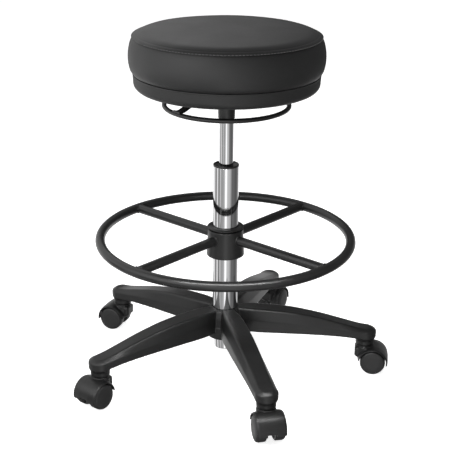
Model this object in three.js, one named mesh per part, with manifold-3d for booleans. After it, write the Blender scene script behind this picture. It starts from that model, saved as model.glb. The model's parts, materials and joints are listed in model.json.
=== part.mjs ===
// Adjustable swivel stool: a padded round seat with a full-circle release ring, a gas-lift column
// with a sliding foot ring, and a five-arm base on hooded twin-wheel casters.
// Millimetres, +Z up. The stool is built around its column axis and then moved sideways, so that
// the origin is on the floor in the middle of its footprint.
import * as THREE from 'three';
import { mergeVertices } from 'three/addons/utils/BufferGeometryUtils.js';
import Module from 'manifold-3d';

const wasm = await Module();
wasm.setup();

// Driving dimensions
const GAP = 0.3; // between pieces that touch
const AXIS_X = -23.6; // column axis, from the middle of the footprint
const AXIS_Y = 2.5;

const COLUMN_R = 25;
const COLUMN_WALL = 2;
const COLUMN_TOP = 432.5;
const COLUMN_BOTTOM = 46;
const BUSHING_LIP = 2.7;
const BUSHING_BOTTOM = 352;
const CYLINDER_R = 14;
const CYLINDER_BOTTOM = 170;
const CYLINDER_TOP = 568;
const ROD_R = 5;

const CUSHION_R = 185;
const CUSHION_TOP = 692;
const SEAT_FLAT_R = 110;
const PAN_R = 176.3;
const PAN_TOP = 613;
const PAN_BOTTOM = 583;
const PAN_WALL = 3;
const PAN_CORNER = 16;
const BOARD_THICK = 12;
const COVER_THICK = 1.5;
const PLATE_SIDE = 150;
const PLATE_THICK = 3;
const PLATE_DISH_R = 60;
const PLATE_FLOOR = 556;
const SEAT_BOLT_PITCH = 120;
const SEAT_BOLT_R = 3;
const SOCKET_R = 16.2;
const SOCKET_BOTTOM = 524;
const SOCKET_TOP = 566;

const LEVER_R = 118;
const LEVER_WIRE_R = 4.5;
const LEVER_Z = 550;
const LEVER_ARM_DEG = [40, 220];
const LEVER_ARM_W = 18;
const LEVER_PLATE_Z = 573.4;
const LEVER_PLATE_R = 20;

const FOOT_R = 245.8;
const FOOT_TUBE_R = 9.5;
const FOOT_Z = 282;
const SPOKE_R = 9.2;
const SPOKE_DEG = [-41.5, 48.5, 138.5, 228.5];
const HUB_BOTTOM = 246;
const HUB_TOP = 300;
const COLLET_TOP = 307.5;

const ARM_DEG = { front: -74.4, right: -2.4, back_right: 69.6, back_left: 141.6, front_left: 213.6 };
const TRAIL_DEG = { front: -76.7, right: -7.6, back_right: 60, back_left: 157.7, front_left: 232 };
const STEM_CIRCLE_R = 284.4;
const BOSS_R = 22;
const BOSS_NECK_R = 19;
const BOSS_BOTTOM = 59.4;

const WHEEL_R = 25.4;
const WHEEL_INNER = 8.3; // wheel faces, from the middle of the caster
const WHEEL_OUTER = 28.9;
const WHEEL_SIDES = 20;
const TRAIL = 18;
const HOOD_R = 31;
const HOOD_INNER_R = 27.3;
const HOOD_HALF_W = 28;
const WEB_HALF_W = 7.6;
const WEB_R = 15;
const STEM_R = 5.5;
const AXLE_R = 3.5;

const radians = THREE.MathUtils.degToRad;
const material = (color, roughness, metalness = 0) =>
  new THREE.MeshStandardMaterial({ color, roughness, metalness });
const MATERIALS = {
  vinyl: material(0x26262a, 0.45),
  foam: material(0xe4d9b8, 0.95),
  plywood: material(0xb98e5c, 0.8),
  pan: material(0x2a2a2c, 0.7),
  powder: material(0x151516, 0.4, 0.3),
  chrome: material(0xd5d8da, 0.1, 1),
  steel: material(0x8e9093, 0.35, 1),
  nylon: material(0x1d1d1e, 0.6),
  acetal: material(0x141415, 0.5),
  tread: material(0x111112, 0.7),
  rubber: material(0x101010, 0.9),
};

// Solids

// A closed geometry as a manifold solid: shared corners merged, slivers dropped, faces turned outwards.
function solid(geometry) {
  const bare = geometry.clone();
  bare.deleteAttribute('normal');
  bare.deleteAttribute('uv');
  const merged = mergeVertices(bare, 1e-4);
  const corners = merged.index.array;
  const points = merged.attributes.position;
  const faces = [];
  let volume = 0;
  const [a, b, c] = [0, 1, 2].map(() => new THREE.Vector3());
  for (let i = 0; i < corners.length; i += 3) {
    const face = [corners[i], corners[i + 1], corners[i + 2]];
    if (new Set(face).size < 3) continue;
    faces.push(face);
    [a, b, c].forEach((corner, k) => corner.fromBufferAttribute(points, face[k]));
    volume += a.dot(b.cross(c));
  }
  if (volume < 0) faces.forEach((face) => face.reverse());
  return new wasm.Manifold(new wasm.Mesh({
    numProp: 3,
    vertProperties: new Float32Array(points.array),
    triVerts: new Uint32Array(faces.flat()),
  }));
}

function geometryOf(body) {
  const { vertProperties, triVerts } = body.getMesh();
  const geometry = new THREE.BufferGeometry();
  geometry.setAttribute('position', new THREE.BufferAttribute(vertProperties, 3));
  geometry.setIndex(new THREE.BufferAttribute(triVerts, 1));
  geometry.computeVertexNormals();
  return geometry;
}

// A profile of [radius, height] points turned about Z.
function turned(profile, sides = 24) {
  const points = profile.map(([r, z]) => new THREE.Vector2(r, z));
  const onAxis = profile[0][0] === 0 && profile.at(-1)[0] === 0;
  if (!onAxis) points.push(points[0].clone());
  return solid(new THREE.LatheGeometry(points, sides).rotateX(Math.PI / 2));
}

// A ring-shaped profile between an inner and an outer radius.
const sleeve = (inner, outer, low, high, sides) =>
  turned([[inner, low], [outer, low], [outer, high], [inner, high]], sides);

const rod = (radius, low, high, sides = 16) =>
  solid(new THREE.CylinderGeometry(radius, radius, high - low, sides)
    .rotateX(Math.PI / 2).translate(0, 0, (low + high) / 2));

const block = (x, y, z, cx = 0, cy = 0, cz = 0) =>
  solid(new THREE.BoxGeometry(x, y, z).translate(cx, cy, cz));

const torus = (radius, tube, z, tubeSides, sides) =>
  solid(new THREE.TorusGeometry(radius, tube, tubeSides, sides).translate(0, 0, z));

const spun = (body, degrees) => body.rotate([0, 0, degrees]);

// A solid through rings of points, all with the same count, closed by a fan at both ends.
function loft(rings) {
  const count = rings[0].length;
  const positions = rings.flat(2);
  const index = [];
  for (let i = 0; i + 1 < rings.length; i += 1) {
    for (let j = 0; j < count; j += 1) {
      const near = i * count + j;
      const next = i * count + ((j + 1) % count);
      index.push(near, next, near + count, next, next + count, near + count);
    }
  }
  const last = (rings.length - 1) * count;
  for (let j = 1; j + 1 < count; j += 1) {
    index.push(0, j + 1, j, last, last + j, last + j + 1);
  }
  const geometry = new THREE.BufferGeometry();
  geometry.setAttribute('position', new THREE.Float32BufferAttribute(positions, 3));
  geometry.setIndex(index);
  return solid(geometry);
}

const stool = new THREE.Group();
stool.position.set(AXIS_X, AXIS_Y, 0);

function place(name, body, look, parent = stool) {
  const mesh = new THREE.Mesh(geometryOf(body), MATERIALS[look]);
  mesh.name = name;
  parent.add(mesh);
}

// Seat

function addSeat() {
  const boardTop = PAN_BOTTOM + PAN_WALL + GAP + BOARD_THICK;
  const insideR = PAN_R - PAN_WALL - 2 * GAP;
  const foamR = insideR - COVER_THICK - GAP;
  const crown = (inset) => [
    [CUSHION_R - 7.5 - inset, PAN_TOP + GAP + inset],
    [CUSHION_R - 1.5 - inset, PAN_TOP + 14],
    [CUSHION_R - inset, PAN_TOP + 32],
    [CUSHION_R - 2.5 - inset, PAN_TOP + 52],
    [CUSHION_R - 8 - inset, PAN_TOP + 67 - inset],
    [CUSHION_R - 18 - inset, CUSHION_TOP - 5.5 - inset],
    [CUSHION_R - 34 - inset, CUSHION_TOP - 2.5 - inset],
    [SEAT_FLAT_R, CUSHION_TOP - inset],
    [0, CUSHION_TOP - inset],
  ];
  const skin = COVER_THICK + GAP;
  const cover = turned([[0, boardTop + GAP], [insideR, boardTop + GAP], [insideR, PAN_TOP + GAP],
    ...crown(0)], 28);
  const foam = (gap) => turned([[0, boardTop + GAP - gap], [foamR + gap, boardTop + GAP - gap],
    [foamR + gap, PAN_TOP + GAP + skin - gap], ...crown(skin - gap)], 28);
  const opening = rod(foamR - 12, boardTop - GAP, boardTop + 4, 28);
  place('seat_cover', cover.subtract(foam(GAP)).subtract(opening), 'vinyl');
  place('seat_foam', foam(0).subtract(rod(CUSHION_R, 0, boardTop + 2 * GAP, 16)), 'foam');

  const boltHoles = seatBoltPlaces().map(([x, y]) =>
    rod(SEAT_BOLT_R + GAP, PLATE_FLOOR, boardTop + 1, 12).translate([x, y, 0]));
  const drilled = (body) => boltHoles.reduce((left, hole) => left.subtract(hole), body);
  const board = rod(PAN_R - PAN_CORNER - 1, boardTop - BOARD_THICK, boardTop, 28);
  place('seat_board', drilled(board), 'plywood');
  place('seat_pan', drilled(turned([
    [0, PAN_BOTTOM], [PAN_R - PAN_CORNER, PAN_BOTTOM], [PAN_R - 8, PAN_BOTTOM + 2.5],
    [PAN_R - 2.5, PAN_BOTTOM + 9], [PAN_R - 0.8, PAN_BOTTOM + 15], [PAN_R, PAN_TOP],
    [PAN_R - PAN_WALL, PAN_TOP], [PAN_R - PAN_WALL, PAN_BOTTOM + 15],
    [PAN_R - 6, PAN_BOTTOM + 9.5], [PAN_R - 10.5, PAN_BOTTOM + 5],
    [PAN_R - PAN_CORNER, PAN_BOTTOM + PAN_WALL], [0, PAN_BOTTOM + PAN_WALL]], 28)), 'pan');
}

const seatBoltPlaces = () => [[1, 1], [-1, 1], [-1, -1], [1, -1]]
  .map(([i, j]) => [i * SEAT_BOLT_PITCH / 2, j * SEAT_BOLT_PITCH / 2]);

// A pressed plate under the seat pan, dished in the middle so that the release plate has room.
function addMountingPlate() {
  const top = PAN_BOTTOM - GAP;
  const low = top - PLATE_THICK;
  const inner = PLATE_DISH_R - PLATE_THICK;
  const flange = block(PLATE_SIDE, PLATE_SIDE, PLATE_THICK, 0, 0, top - PLATE_THICK / 2)
    .subtract(rod(inner, low - 1, top + 1, 24));
  const dish = turned([
    [SOCKET_R + GAP, PLATE_FLOOR], [PLATE_DISH_R - 6, PLATE_FLOOR], [PLATE_DISH_R, PLATE_FLOOR + 6],
    [PLATE_DISH_R, top], [inner, top], [inner, PLATE_FLOOR + 7],
    [inner - 4, PLATE_FLOOR + PLATE_THICK], [SOCKET_R + GAP, PLATE_FLOOR + PLATE_THICK]]);
  let plate = flange.add(dish);
  for (const degrees of LEVER_ARM_DEG) {
    const window = block(40, LEVER_ARM_W + 6, 18, PLATE_DISH_R, 0, PLATE_FLOOR + 14.5);
    plate = plate.subtract(spun(window, degrees));
  }
  for (const [x, y] of seatBoltPlaces()) {
    plate = plate.subtract(rod(SEAT_BOLT_R + GAP, low - 1, top + 1, 12).translate([x, y, 0]));
  }
  place('mounting_plate', plate, 'powder');

  seatBoltPlaces().forEach(([x, y], i) => {
    const head = rod(SEAT_BOLT_R * 2, low - GAP - 4, low - GAP, 6);
    const shank = rod(SEAT_BOLT_R, low - 1, PAN_BOTTOM + PAN_WALL + 9, 12);
    place(`seat_bolt_${i + 1}`, head.add(shank).translate([x, y, 0]), 'steel');
  });
  place('seat_socket', turned([
    [CYLINDER_R + GAP, SOCKET_BOTTOM], [SOCKET_R, SOCKET_BOTTOM], [SOCKET_R, SOCKET_TOP],
    [CYLINDER_R - 1 + GAP, SOCKET_TOP]]), 'powder');
}

// The ring hangs on two arms from a plate over the release pin. The arms run out through the
// windows of the mounting plate and then slope down to the ring.
function addRelease() {
  const z = LEVER_PLATE_Z;
  const bend = PLATE_DISH_R + 4;
  const outer = LEVER_R - LEVER_WIRE_R - GAP;
  const half = LEVER_ARM_W / 2;
  const thick = 3;
  const armSection = (x, low) => [[x, -half, low], [x, half, low], [x, half, low + thick],
    [x, -half, low + thick]];
  const arm = loft([armSection(8, z), armSection(bend, z), armSection(outer - 1.5, LEVER_Z - 1)]);
  let plate = rod(LEVER_PLATE_R, z, z + thick, 20);
  for (const degrees of LEVER_ARM_DEG) plate = plate.add(spun(arm, degrees));
  place('release_plate', plate, 'powder');
  place('release_ring', torus(LEVER_R, LEVER_WIRE_R, LEVER_Z, 8, 36), 'powder');
  place('release_pin', turned([[0, 558], [3.6, 558], [3.6, 571], [2, z - 0.4], [0, z - 0.4]], 12),
    'steel');
}

// Gas lift

function addGasLift() {
  const bore = 11.6;
  const boreTop = 545;
  const cap = CYLINDER_BOTTOM + 15;
  const blank = turned([[0, CYLINDER_BOTTOM], [CYLINDER_R - 1, CYLINDER_BOTTOM],
    [CYLINDER_R, CYLINDER_BOTTOM + 1], [CYLINDER_R, SOCKET_BOTTOM],
    [CYLINDER_R - 1, SOCKET_TOP], [CYLINDER_R - 2, CYLINDER_TOP], [0, CYLINDER_TOP]]);
  const cylinder = blank.subtract(rod(bore, cap, boreTop, 16))
    .subtract(rod(ROD_R + GAP, CYLINDER_BOTTOM - 1, cap + 1, 12))
    .subtract(rod(4.2, 554.5, CYLINDER_TOP + 1, 12));
  place('gas_cylinder', cylinder, 'chrome');

  const inner = COLUMN_R - COLUMN_WALL;
  const rim = COLUMN_TOP - BUSHING_LIP;
  place('guide_bushing', turned([
    [CYLINDER_R + GAP, BUSHING_BOTTOM], [inner - GAP, BUSHING_BOTTOM], [inner - GAP, rim],
    [COLUMN_R, rim], [COLUMN_R, COLUMN_TOP - 0.6], [COLUMN_R - 0.6, COLUMN_TOP],
    [CYLINDER_R + 4, COLUMN_TOP - 1.2], [CYLINDER_R + GAP, COLUMN_TOP - 1.2]]), 'acetal');

  const floor = COLUMN_BOTTOM + 12;
  place('column_tube', turned([
    [COLUMN_R - 5, COLUMN_BOTTOM], [COLUMN_R - 3.6, COLUMN_BOTTOM + 1.5],
    [COLUMN_R - 2.6, COLUMN_BOTTOM + 22], [COLUMN_R - 1.6, COLUMN_BOTTOM + 26],
    [COLUMN_R, 142], [COLUMN_R, rim - GAP], [inner, rim - GAP], [inner, 142],
    [inner - 3, floor], [ROD_R + GAP, floor], [ROD_R + GAP, floor - 4], [COLUMN_R - 6.5, floor - 4],
    [COLUMN_R - 6.5, COLUMN_BOTTOM]]), 'chrome');

  const stack = floor + GAP;
  place('retaining_clip', sleeve(ROD_R + GAP, 9, floor - 4 - GAP - 1.5, floor - 4 - GAP, 16), 'steel');
  place('washer_lower', sleeve(ROD_R + GAP, 12, stack, stack + 1.7, 16), 'steel');
  place('thrust_bearing', sleeve(ROD_R + GAP, 11.5, stack + 2, stack + 6, 16), 'steel');
  place('washer_upper', sleeve(ROD_R + GAP, 12, stack + 6.3, stack + 8, 16), 'steel');
  const buffer = stack + 8 + GAP;
  place('rubber_buffer', turned([[ROD_R + GAP, buffer], [12, buffer], [10, buffer + 10],
    [12, buffer + 20], [ROD_R + GAP, buffer + 20]], 16), 'rubber');
  const pistonLow = 368;
  place('piston_rod', rod(ROD_R, floor - 10, pistonLow - GAP, 12), 'steel');
  place('piston', rod(bore - GAP, pistonLow, pistonLow + 14, 16), 'acetal');
}

// Foot ring

function addFootRing() {
  const hubOuter = [[37.3, HUB_BOTTOM + 1], [36.9, HUB_BOTTOM + 12], [35.6, 284], [35, HUB_TOP - 1.5]];
  place('foot_hub', turned([[30.5, HUB_BOTTOM], [36.3, HUB_BOTTOM], ...hubOuter,
    [33.5, HUB_TOP], [30.5, HUB_TOP]]), 'powder');
  const bore = COLUMN_R + 0.35;
  const slot = block(20, 2, 80, 30, 0, 280);
  const collet = turned([[bore, 250], [30.2, 250], [30.2, 303], [35.6, 303], [36, 303.6],
    [36, COLLET_TOP - 2], [34, COLLET_TOP - 0.4], [bore + 1, COLLET_TOP], [bore, COLLET_TOP - 1]]);
  place('foot_collet', collet.subtract(slot.rotate([0, 0, 180])), 'acetal');
  place('foot_ring', torus(FOOT_R, FOOT_TUBE_R, FOOT_Z, 8, 36), 'powder');

  const ends = torus(FOOT_R, FOOT_TUBE_R + GAP, FOOT_Z, 8, 36)
    .add(turned([[0, HUB_BOTTOM - 1], [37.6, HUB_BOTTOM - 1],
      ...hubOuter.map(([r, z]) => [r + GAP, z]), [0, HUB_TOP]]));
  SPOKE_DEG.forEach((degrees, i) => {
    const bar = rod(SPOKE_R, 30, FOOT_R, 12).rotate([0, 90, degrees]).translate([0, 0, FOOT_Z]);
    place(`foot_spoke_${i + 1}`, bar.subtract(ends), 'powder');
  });
}

// Base

// Arm stations along its length: half widths of the top face and of the sides, and the heights
// of the top face, of the foot of its sloping shoulders and of the lower edge.
const ARM_STATIONS = [
  { s: 24, top: 12.5, side: 14, high: 134.5, shoulder: 113, low: 86 },
  { s: 60, top: 17, side: 22, high: 134.5, shoulder: 111, low: 85.5 },
  { s: 131, top: 17.4, side: 24.2, high: 129, shoulder: 107, low: 85 },
  { s: 190, top: 16, side: 24, high: 118.2, shoulder: 100.5, low: 83.3 },
  { s: 240, top: 14.4, side: 23, high: 105.4, shoulder: 94.2, low: 80 },
  { s: STEM_CIRCLE_R, top: 13.5, side: 22, high: 95.5, shoulder: 89, low: 74 },
];

// The six corners of an arm's section, pulled in by a wall thickness for the hollow underneath.
function armRing({ s, top, side, high, shoulder, low }, wall = 0) {
  const [t, w, h, e, l] = [top - wall, side - wall, high - wall, shoulder - wall / 2, wall ? 40 : low];
  return [[s, -w, l], [s, w, l], [s, w, e], [s, t, h], [s, -t, h], [s, -w, e]];
}

function armHollow() {
  const wall = 4;
  const stations = ARM_STATIONS.slice(1, -1).map((station) => ({ ...station }));
  stations[0].s = 48;
  stations.at(-1).s = STEM_CIRCLE_R - BOSS_R - 6;
  let hollow = loft(stations.map((station) => armRing(station, wall)));
  hollow = hollow.subtract(block(260, 3, 200, 150, 0, 100));
  for (const x of [118, 188]) hollow = hollow.subtract(block(3, 80, 200, x, 0, 100));
  return hollow;
}

function addBase() {
  const neckTop = BOSS_BOTTOM + 10;
  const boss = turned([[0, BOSS_BOTTOM], [BOSS_NECK_R - 0.8, BOSS_BOTTOM],
    [BOSS_NECK_R, BOSS_BOTTOM + 1], [BOSS_NECK_R, neckTop], [BOSS_R, neckTop + 6],
    [BOSS_R, 89], [13.5, 94.7], [0, 95.2]], 16).translate([STEM_CIRCLE_R, 0, 0]);
  const stemBore = rod(STEM_R + 2 * GAP, BOSS_BOTTOM - 1, 83.4, 12).translate([STEM_CIRCLE_R, 0, 0]);
  const arm = loft(ARM_STATIONS.map((station) => armRing(station)));
  const hollow = armHollow();
  const bore = (gap) => turned([[0, 60], [COLUMN_R - 1.6 + gap, 60], [COLUMN_R - 1.6 + gap, 72],
    [COLUMN_R + gap, 142], [0, 142]]);
  let base = turned([[0, 72], [36.2, 72], [37, 73], [36.6, 98], [35.4, 100], [34.8, 118],
    [31, 131], [28, 134.2], [0, 134.2]]);
  for (const degrees of Object.values(ARM_DEG)) base = base.add(spun(arm.add(boss), degrees));
  for (const degrees of Object.values(ARM_DEG)) base = base.subtract(spun(hollow.add(stemBore), degrees));
  place('star_base', base.subtract(bore(GAP)), 'nylon');
}

// Casters, each in its own frame: stem on Z, the wheels trailing along +X, their axle along Y.

function casterPieces() {
  const lying = (body) => body.rotate([90, 0, 0]).translate([TRAIL, 0, WHEEL_R]);
  const top = BOSS_BOTTOM - 0.8;
  const cover = new THREE.Shape();
  cover.absarc(0, 0, HOOD_R, radians(-9), radians(172));
  cover.lineTo(0, 0);
  const sector = solid(new THREE.ExtrudeGeometry(cover, {
    depth: 2 * HOOD_HALF_W, bevelEnabled: false, curveSegments: 7,
  }).translate(0, 0, -HOOD_HALF_W));
  const wheelSpace = rod(HOOD_INNER_R, WEB_HALF_W, HOOD_HALF_W + 10, 16);
  const neck = turned([[0, 28], [17, 28], [19, 33], [19, top - 3], [17.5, top - 2.4],
    [17.5, top], [0, top]], 16);
  const hood = lying(sector).add(neck)
    .subtract(lying(wheelSpace)).subtract(lying(wheelSpace.rotate([0, 180, 0])))
    .add(lying(rod(WEB_R, -WEB_HALF_W, WEB_HALF_W, 16)))
    .subtract(lying(rod(AXLE_R + GAP, -30, 30, 12)))
    .subtract(rod(STEM_R + GAP, 40, top + 1, 12));

  const tread = WHEEL_R / Math.cos(Math.PI / WHEEL_SIDES);
  const bore = AXLE_R + GAP;
  const blind = 24.4;
  const wheel = turned([[0, blind], [bore, blind], [bore, WHEEL_INNER], [tread - 2, WHEEL_INNER],
    [tread, WHEEL_INNER + 2], [tread, WHEEL_OUTER - 4.5], [tread - 3, WHEEL_OUTER - 1],
    [0, WHEEL_OUTER]], WHEEL_SIDES).rotate([0, 0, 180 / WHEEL_SIDES]);
  return {
    stem: [turned([[0, 41], [STEM_R, 41], [STEM_R, 68], [STEM_R + 0.25, 70], [STEM_R + 0.25, 76],
      [STEM_R, 78], [STEM_R - 1, 81], [0, 81]], 12), 'steel'],
    hood: [hood, 'nylon'],
    axle: [lying(rod(AXLE_R, -blind + GAP, blind - GAP, 12)), 'steel'],
    wheel_left: [lying(wheel.rotate([0, 180, 0])), 'tread'],
    wheel_right: [lying(wheel), 'tread'],
  };
}

function addCasters() {
  const pieces = casterPieces();
  for (const [where, degrees] of Object.entries(ARM_DEG)) {
    const caster = new THREE.Group();
    const angle = radians(degrees);
    caster.position.set(STEM_CIRCLE_R * Math.cos(angle), STEM_CIRCLE_R * Math.sin(angle), 0);
    caster.rotation.z = radians(TRAIL_DEG[where]);
    stool.add(caster);
    for (const [piece, [body, look]] of Object.entries(pieces)) {
      place(`caster_${where}_${piece}`, body, look, caster);
    }
  }
}

addSeat();
addMountingPlate();
addRelease();
addGasLift();
addFootRing();
addBase();
addCasters();

export default stool;
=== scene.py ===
"""The looks of the adjustable swivel stool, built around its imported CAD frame."""

import json
import math

import bmesh
import bpy
import numpy as np
from mathutils import Matrix, Vector, noise


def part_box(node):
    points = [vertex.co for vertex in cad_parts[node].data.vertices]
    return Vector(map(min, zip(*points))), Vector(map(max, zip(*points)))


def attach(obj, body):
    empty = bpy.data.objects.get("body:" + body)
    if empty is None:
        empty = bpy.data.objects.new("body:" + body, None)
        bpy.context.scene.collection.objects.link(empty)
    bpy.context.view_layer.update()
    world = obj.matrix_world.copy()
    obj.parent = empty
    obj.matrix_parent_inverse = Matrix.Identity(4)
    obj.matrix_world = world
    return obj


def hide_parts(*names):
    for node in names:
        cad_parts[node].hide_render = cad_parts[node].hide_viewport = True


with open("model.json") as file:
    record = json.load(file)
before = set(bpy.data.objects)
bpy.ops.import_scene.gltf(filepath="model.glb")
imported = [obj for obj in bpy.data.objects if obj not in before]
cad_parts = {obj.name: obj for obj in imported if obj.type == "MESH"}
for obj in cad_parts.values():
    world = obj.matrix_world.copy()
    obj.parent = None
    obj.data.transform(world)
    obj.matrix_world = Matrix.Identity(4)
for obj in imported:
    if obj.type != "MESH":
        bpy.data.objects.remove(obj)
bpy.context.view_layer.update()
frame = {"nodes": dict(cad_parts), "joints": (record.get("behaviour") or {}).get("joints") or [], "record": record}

MM = 0.001
TAU = 2 * math.pi
JOINTS = {joint["name"]: joint for joint in frame["joints"]}
FLAT = Vector((1, 1, 0))
AXIS = Vector(JOINTS["seat_swivel"]["pos_m"]) * FLAT
CASTERS = [name.removesuffix("_swivel") for name in JOINTS
           if name.startswith("caster_") and name.endswith("_swivel")]


def low(node):
    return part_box(node)[0].z / MM


def high(node):
    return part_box(node)[1].z / MM


def radius(node):
    """Half the width of a node that is round about the column axis, in mm."""
    a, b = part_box(node)
    return (b.x - a.x) / 2 / MM


def nodes_called(start):
    return [name for name in frame["nodes"] if name.startswith(start)]


# ---------------------------------------------------------------- mesh tools


def link(name, mesh, material, place=AXIS):
    piece = bpy.data.objects.new(name, mesh)
    bpy.context.scene.collection.objects.link(piece)
    piece.location = place
    if material:
        piece.data.materials.append(material)
    return piece


def mesh_from(name, points, faces, crease=40):
    """A smooth-shaded mesh from points in mm, with edges over `crease` degrees left sharp."""
    mesh = bpy.data.meshes.new(name)
    mesh.from_pydata([Vector(p) * MM for p in points], [], faces)
    mesh.validate()
    work = bmesh.new()
    work.from_mesh(mesh)
    bmesh.ops.recalc_face_normals(work, faces=work.faces)
    work.to_mesh(mesh)
    work.free()
    mesh.shade_smooth()
    mesh.set_sharp_from_angle(angle=math.radians(crease))
    return mesh


def rounded(corners, steps=5):
    """A closed outline from (x, y, fillet radius) corners, each fillet drawn with `steps` points."""
    out = []
    count = len(corners)
    for i, (x, y, fillet) in enumerate(corners):
        here = Vector((x, y))
        if not fillet:
            out.append(here)
            continue
        before = Vector(corners[i - 1][:2]) - here
        after = Vector(corners[(i + 1) % count][:2]) - here
        half = before.angle(after) / 2
        reach = min(fillet / math.tan(half), before.length * 0.49, after.length * 0.49)
        bow = reach * math.tan(half)
        centre = here + (before.normalized() + after.normalized()).normalized() * (bow / math.sin(half))
        start = here + before.normalized() * reach - centre
        end = here + after.normalized() * reach - centre
        for k in range(steps + 1):
            mix = k / steps
            spoke = start.lerp(end, mix)
            out.append(centre + spoke.normalized() * bow)
    return out


def revolve(outline, sides=128):
    """(points, faces) of a closed outline of (r, z) turned about Z. Points with r = 0 become poles."""
    points, faces, rows = [], [], []
    for r, z in outline:
        if r < 1e-6:
            rows.append([len(points)] * sides)
            points.append((0, 0, z))
            continue
        rows.append(list(range(len(points), len(points) + sides)))
        points += [(r * math.cos(TAU * k / sides), r * math.sin(TAU * k / sides), z) for k in range(sides)]
    for i, row in enumerate(rows):
        following = rows[(i + 1) % len(rows)]
        if row[0] == row[1] and following[0] == following[1]:
            continue
        for k in range(sides):
            n = (k + 1) % sides
            faces.append(list(dict.fromkeys([row[k], row[n], following[n], following[k]])))
    return points, faces


def turned_solid(corners, sides=128, steps=5):
    """(points, faces) of (r, z, fillet radius) corners turned about Z."""
    return revolve([tuple(p) for p in rounded(corners, steps)], sides)


def turned(name, corners, material, sides=128, steps=5):
    return link(name, mesh_from(name, *turned_solid(corners, sides, steps)), material)


def rod_solid(r, z0, z1, sides):
    return revolve([(0, z0), (r, z0), (r, z1), (0, z1)], sides)


def tube_points(path, width, sides=16, closed=True):
    """(points, faces) of a round tube along a list of points. width(i) gives the radius at point i."""
    points, faces = [], []
    count = len(path)
    up = Vector((0, 0, 1))
    for i, p in enumerate(path):
        ahead = path[(i + 1) % count] if closed or i + 1 < count else p
        behind = path[i - 1] if closed or i > 0 else p
        along = (ahead - behind).normalized()
        side = along.cross(up)
        side = side.normalized() if side.length > 1e-4 else Vector((1, 0, 0))
        over = side.cross(along).normalized()
        r = width(i)
        for k in range(sides):
            turn = TAU * k / sides
            points.append(p + (side * math.cos(turn) + over * math.sin(turn)) * r)
    rings = count if closed else count - 1
    for i in range(rings):
        a, b = i * sides, ((i + 1) % count) * sides
        for k in range(sides):
            n = (k + 1) % sides
            faces.append([a + k, a + n, b + n, b + k])
    if not closed:
        faces.append(list(range(sides))[::-1])
        faces.append([(count - 1) * sides + k for k in range(sides)])
    return points, faces


def ring(name, r, z, wire, count, sides):
    """A closed hoop of powder-coated tube."""
    path = [Vector((r * math.cos(TAU * k / count), r * math.sin(TAU * k / count), z)) for k in range(count)]
    hoop = tube_points(path, lambda i: wire, sides)
    return link(name, mesh_from(name, *hoop, 60), LOOKS["powder"])


def loft(rings):
    """(points, faces) through rings of points, all with the same count, closed at both ends."""
    points = [p for one in rings for p in one]
    count = len(rings[0])
    faces = []
    for i in range(len(rings) - 1):
        a, b = i * count, (i + 1) * count
        faces += [[a + k, a + (k + 1) % count, b + (k + 1) % count, b + k] for k in range(count)]
    faces.append(list(range(count))[::-1])
    faces.append([(len(rings) - 1) * count + k for k in range(count)])
    return points, faces


def prism(outline, z0, z1, bevel=0.0, steps=3):
    """(points, faces) of an (x, y) outline raised from z0 to z1 with rounded edges."""
    centre = sum(outline, Vector((0, 0))) / len(outline)

    def row(inset, z):
        return [Vector((*(p - (p - centre).normalized() * inset), z)) for p in outline]

    turns = [k / steps * math.pi / 2 for k in range(steps + 1)] if bevel else [math.pi / 2]
    under = [row(bevel * (1 - math.sin(t)), z0 + bevel * (1 - math.cos(t))) for t in turns]
    over = [row(bevel * (1 - math.sin(t)), z1 - bevel * (1 - math.cos(t))) for t in reversed(turns)]
    return loft(under + over)


def moved(solid, matrix):
    points, faces = solid
    return [matrix @ Vector(p) for p in points], faces


def joined(*solids):
    points, faces = [], []
    for more, its_faces in solids:
        base = len(points)
        points += list(more)
        faces += [[base + i for i in face] for face in its_faces]
    return points, faces


def applied(piece):
    """The piece with its modifiers worked into the mesh."""
    bpy.context.view_layer.update()
    graph = bpy.context.evaluated_depsgraph_get()
    mesh = bpy.data.meshes.new_from_object(piece.evaluated_get(graph))
    old = piece.data
    piece.modifiers.clear()
    piece.data = mesh
    bpy.data.meshes.remove(old)
    return piece


def carve(piece, tool, operation="DIFFERENCE"):
    """A boolean of the piece with a (points, faces) solid in the piece's own frame."""
    cutter = link("cutter", mesh_from("cutter", *tool), None, piece.location)
    step = piece.modifiers.new("carve", "BOOLEAN")
    step.operation = operation
    step.solver = "MANIFOLD"
    step.object = cutter
    applied(piece)
    bpy.data.objects.remove(cutter)
    return piece


def moulded(piece, voxel, smoothing):
    """Fuses overlapping closed solids into one skin with soft fillets, as a moulding has. Voxel in mm."""
    step = piece.modifiers.new("fuse", "REMESH")
    step.mode = "VOXEL"
    step.voxel_size = voxel * MM
    step.use_smooth_shade = True
    soft = piece.modifiers.new("soften", "SMOOTH")
    soft.factor = 0.5
    soft.iterations = smoothing
    applied(piece)
    piece.data.shade_smooth()
    return piece


# ---------------------------------------------------------------- materials


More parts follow.
